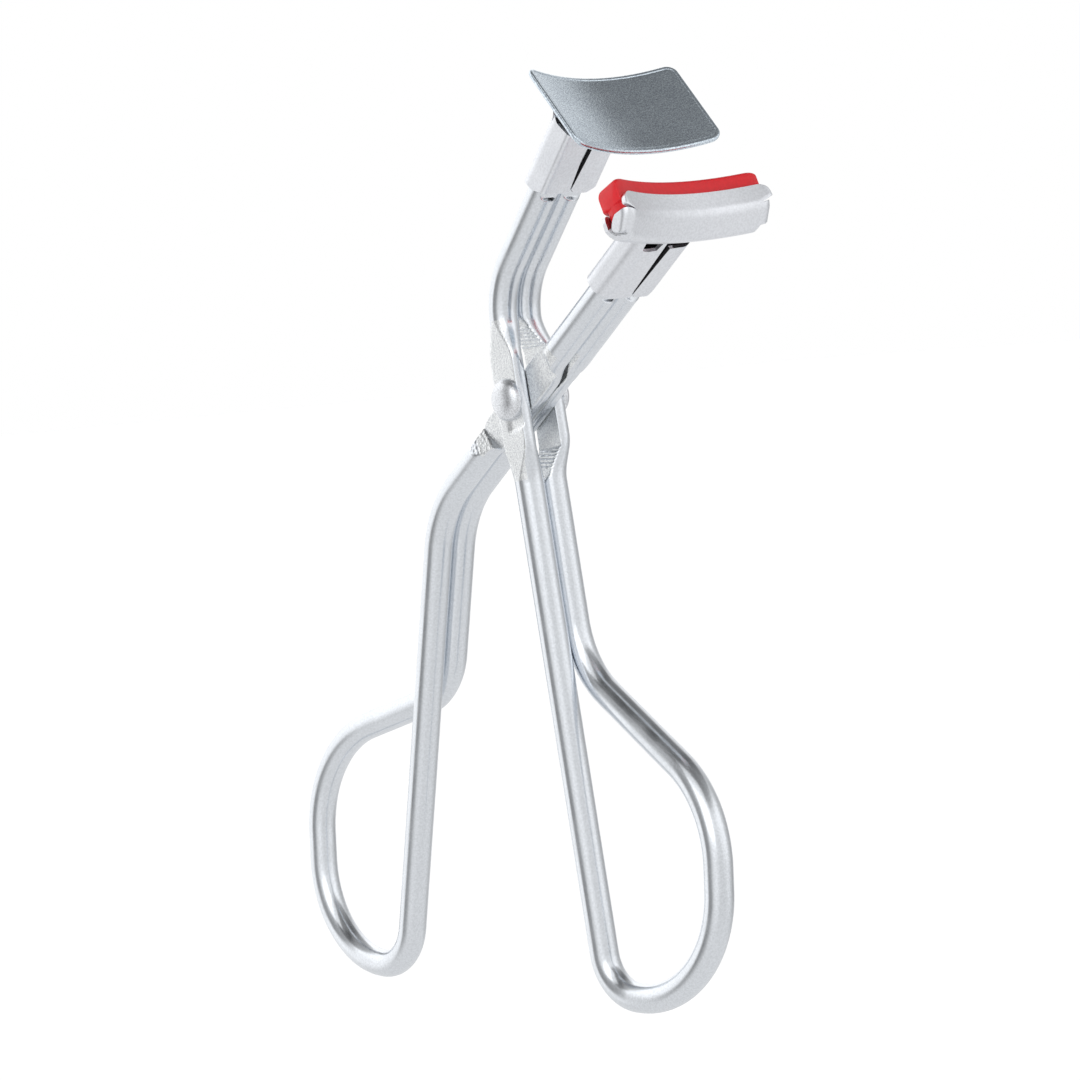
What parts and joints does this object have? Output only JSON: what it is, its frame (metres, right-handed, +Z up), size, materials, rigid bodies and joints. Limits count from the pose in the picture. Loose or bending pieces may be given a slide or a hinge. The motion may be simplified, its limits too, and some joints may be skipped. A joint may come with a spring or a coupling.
{
  "type": "eyelash curler",
  "caption": "Open-sided eyelash curler of bent steel wire with finger loops, a curved press plate and a red silicone pad in a sheet channel.",
  "frame": {"origin": "middle of the bounding box at the level of the finger loops' lowest points, with the tool upright and open", "axes": "+X along the pivot, +Y towards the side the jaws face, +Z up from the finger loops to the jaws"},
  "size_m": [0.0212, 0.0792, 0.1043],
  "materials": {
    "wire": "satin nickel plate",
    "rivet": "satin nickel plate",
    "sheet": "fine bead-blasted nickel plate",
    "pad": "satin silicone"
  },
  "bodies": {
    "front_lever": {"wire_lever_front": "wire", "press_plate": "sheet", "pivot_rivet": "rivet"},
    "rear_lever": {"wire_lever_rear": "wire", "pad_holder": "sheet", "lash_pad": "pad"}
  },
  "joints": [
    {"name": "pivot", "type": "hinge", "parent": "front_lever", "child": "rear_lever", "pos_m": [0, 0.0084, 0.0689], "axis": [1, 0, 0], "range_deg": [-6, 8.7]}
  ]
}
